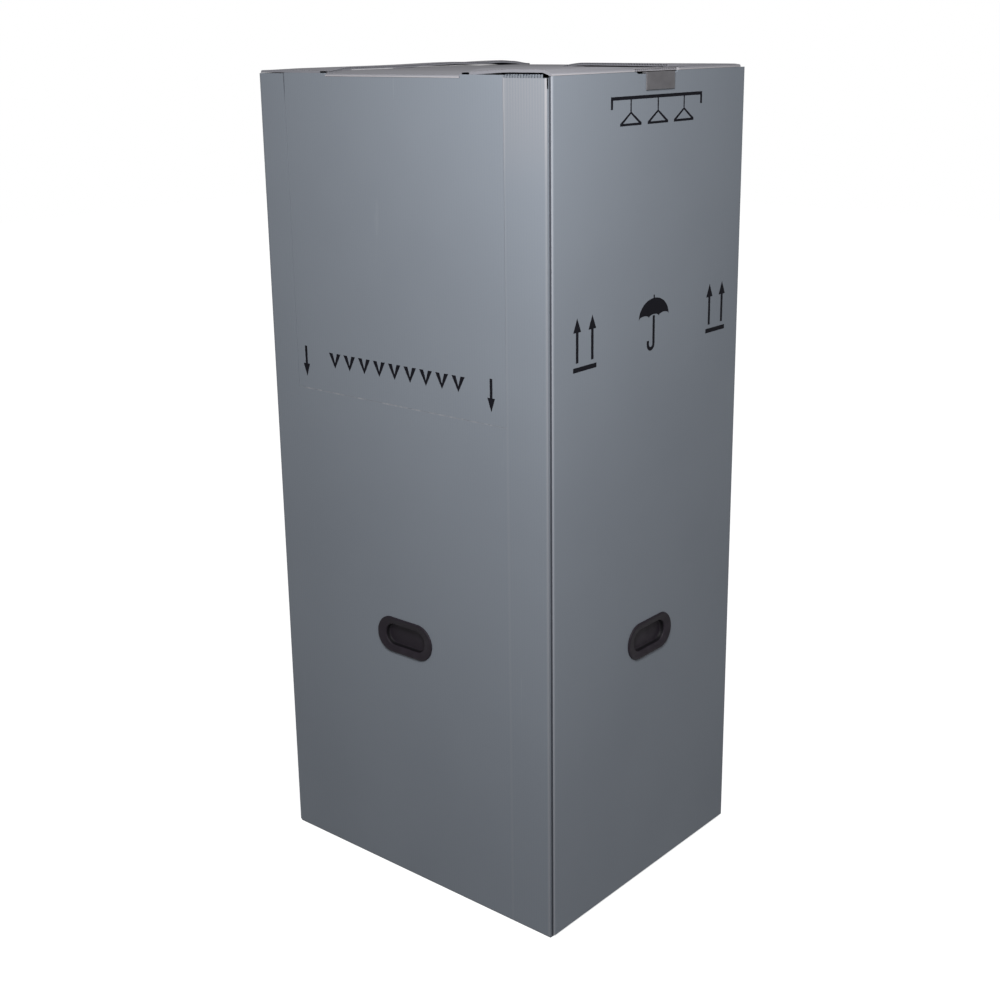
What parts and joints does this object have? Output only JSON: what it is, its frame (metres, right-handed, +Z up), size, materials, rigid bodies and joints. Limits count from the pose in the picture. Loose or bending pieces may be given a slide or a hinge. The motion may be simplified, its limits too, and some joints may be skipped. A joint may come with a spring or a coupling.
{
  "type": "wardrobe moving box",
  "caption": "Tall reusable moving box of fluted plastic board with a fold-down front door, top flaps, moulded hand grips and a steel rail for hanging clothes.",
  "frame": {"origin": "middle of the base, at the level that the bottom flaps rest on", "axes": "+Z up the box, -Y out of the wall with the door, +X along that wall towards the glued corner"},
  "size_m": [0.606, 0.516, 1.3627],
  "materials": {
    "twin_wall_board": "blue-grey extruded polypropylene board with faint upright flutes",
    "black_moulding": "black injection moulding, satin",
    "zinc_steel": "zinc-coated sheet steel, dull"
  },
  "bodies": {
    "box": {"folded_sheet": "twin_wall_board", "hanger_rail": "zinc_steel", "hand_grip_front": "black_moulding", "hand_grip_right": "black_moulding", "hand_grip_back": "black_moulding", "hand_grip_left": "black_moulding", "grip_frame_front": "black_moulding", "grip_frame_right": "black_moulding", "grip_frame_back": "black_moulding", "grip_frame_left": "black_moulding"},
    "door": {"door_panel": "twin_wall_board"},
    "door_flap": {"door_top_flap": "twin_wall_board"},
    "left_flap": {"left_top_flap": "twin_wall_board"}
  },
  "joints": [
    {"name": "door_fold", "type": "hinge", "parent": "box", "child": "door", "pos_m": [0, -0.2554, 0.841], "axis": [1, 0, 0], "range_deg": [0, 172]},
    {"name": "door_flap_fold", "type": "hinge", "parent": "door", "child": "door_flap", "pos_m": [0, -0.2554, 1.348], "axis": [1, 0, 0], "range_deg": [0, 100]},
    {"name": "left_flap_fold", "type": "hinge", "parent": "box", "child": "left_flap", "pos_m": [-0.3004, 0, 1.352], "axis": [0, -1, 0], "range_deg": [0, 200]}
  ]
}
